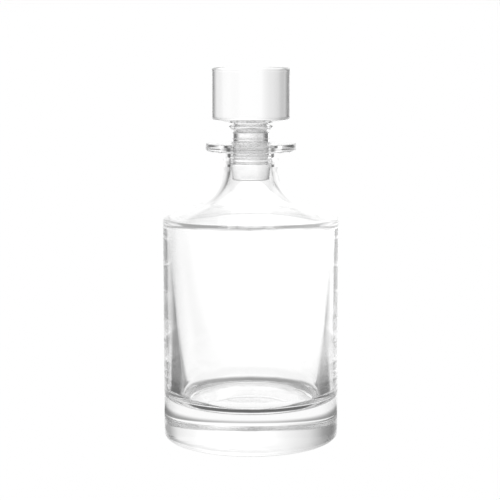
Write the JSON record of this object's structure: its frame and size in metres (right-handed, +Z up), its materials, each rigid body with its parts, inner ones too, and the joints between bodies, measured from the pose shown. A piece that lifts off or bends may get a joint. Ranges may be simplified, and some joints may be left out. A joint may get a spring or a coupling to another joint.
{
  "type": "wine decanter",
  "caption": "Round clear-glass decanter with a heavy solid base, sloping shoulder and disc lip, closed by a solid glass stopper with a ribbed clear sealing sleeve that lifts out and turns.",
  "frame": {"origin": "middle of the foot circle, on the plane that the bottle stands on", "axes": "+Z up along the axis of the bottle and the stopper; the part is round, so +X and +Y are free"},
  "size_m": [0.104, 0.104, 0.22],
  "materials": {
    "bottle_glass": "clear fire-polished",
    "stopper_glass": "clear fire-polished",
    "seal_silicone": "clear moulded"
  },
  "bodies": {
    "bottle": {"bottle": "bottle_glass"},
    "seal": {"stopper_seal": "seal_silicone"},
    "stopper": {"stopper": "stopper_glass"}
  },
  "joints": [
    {"name": "stopper_lift", "type": "slide", "parent": "bottle", "child": "seal", "axis": [0, 0, 1], "range_m": [0, 0.06]},
    {"name": "stopper_twist", "type": "hinge", "parent": "seal", "child": "stopper", "pos_m": [0, 0, 0.1754], "axis": [0, 0, 1], "continuous": true}
  ]
}
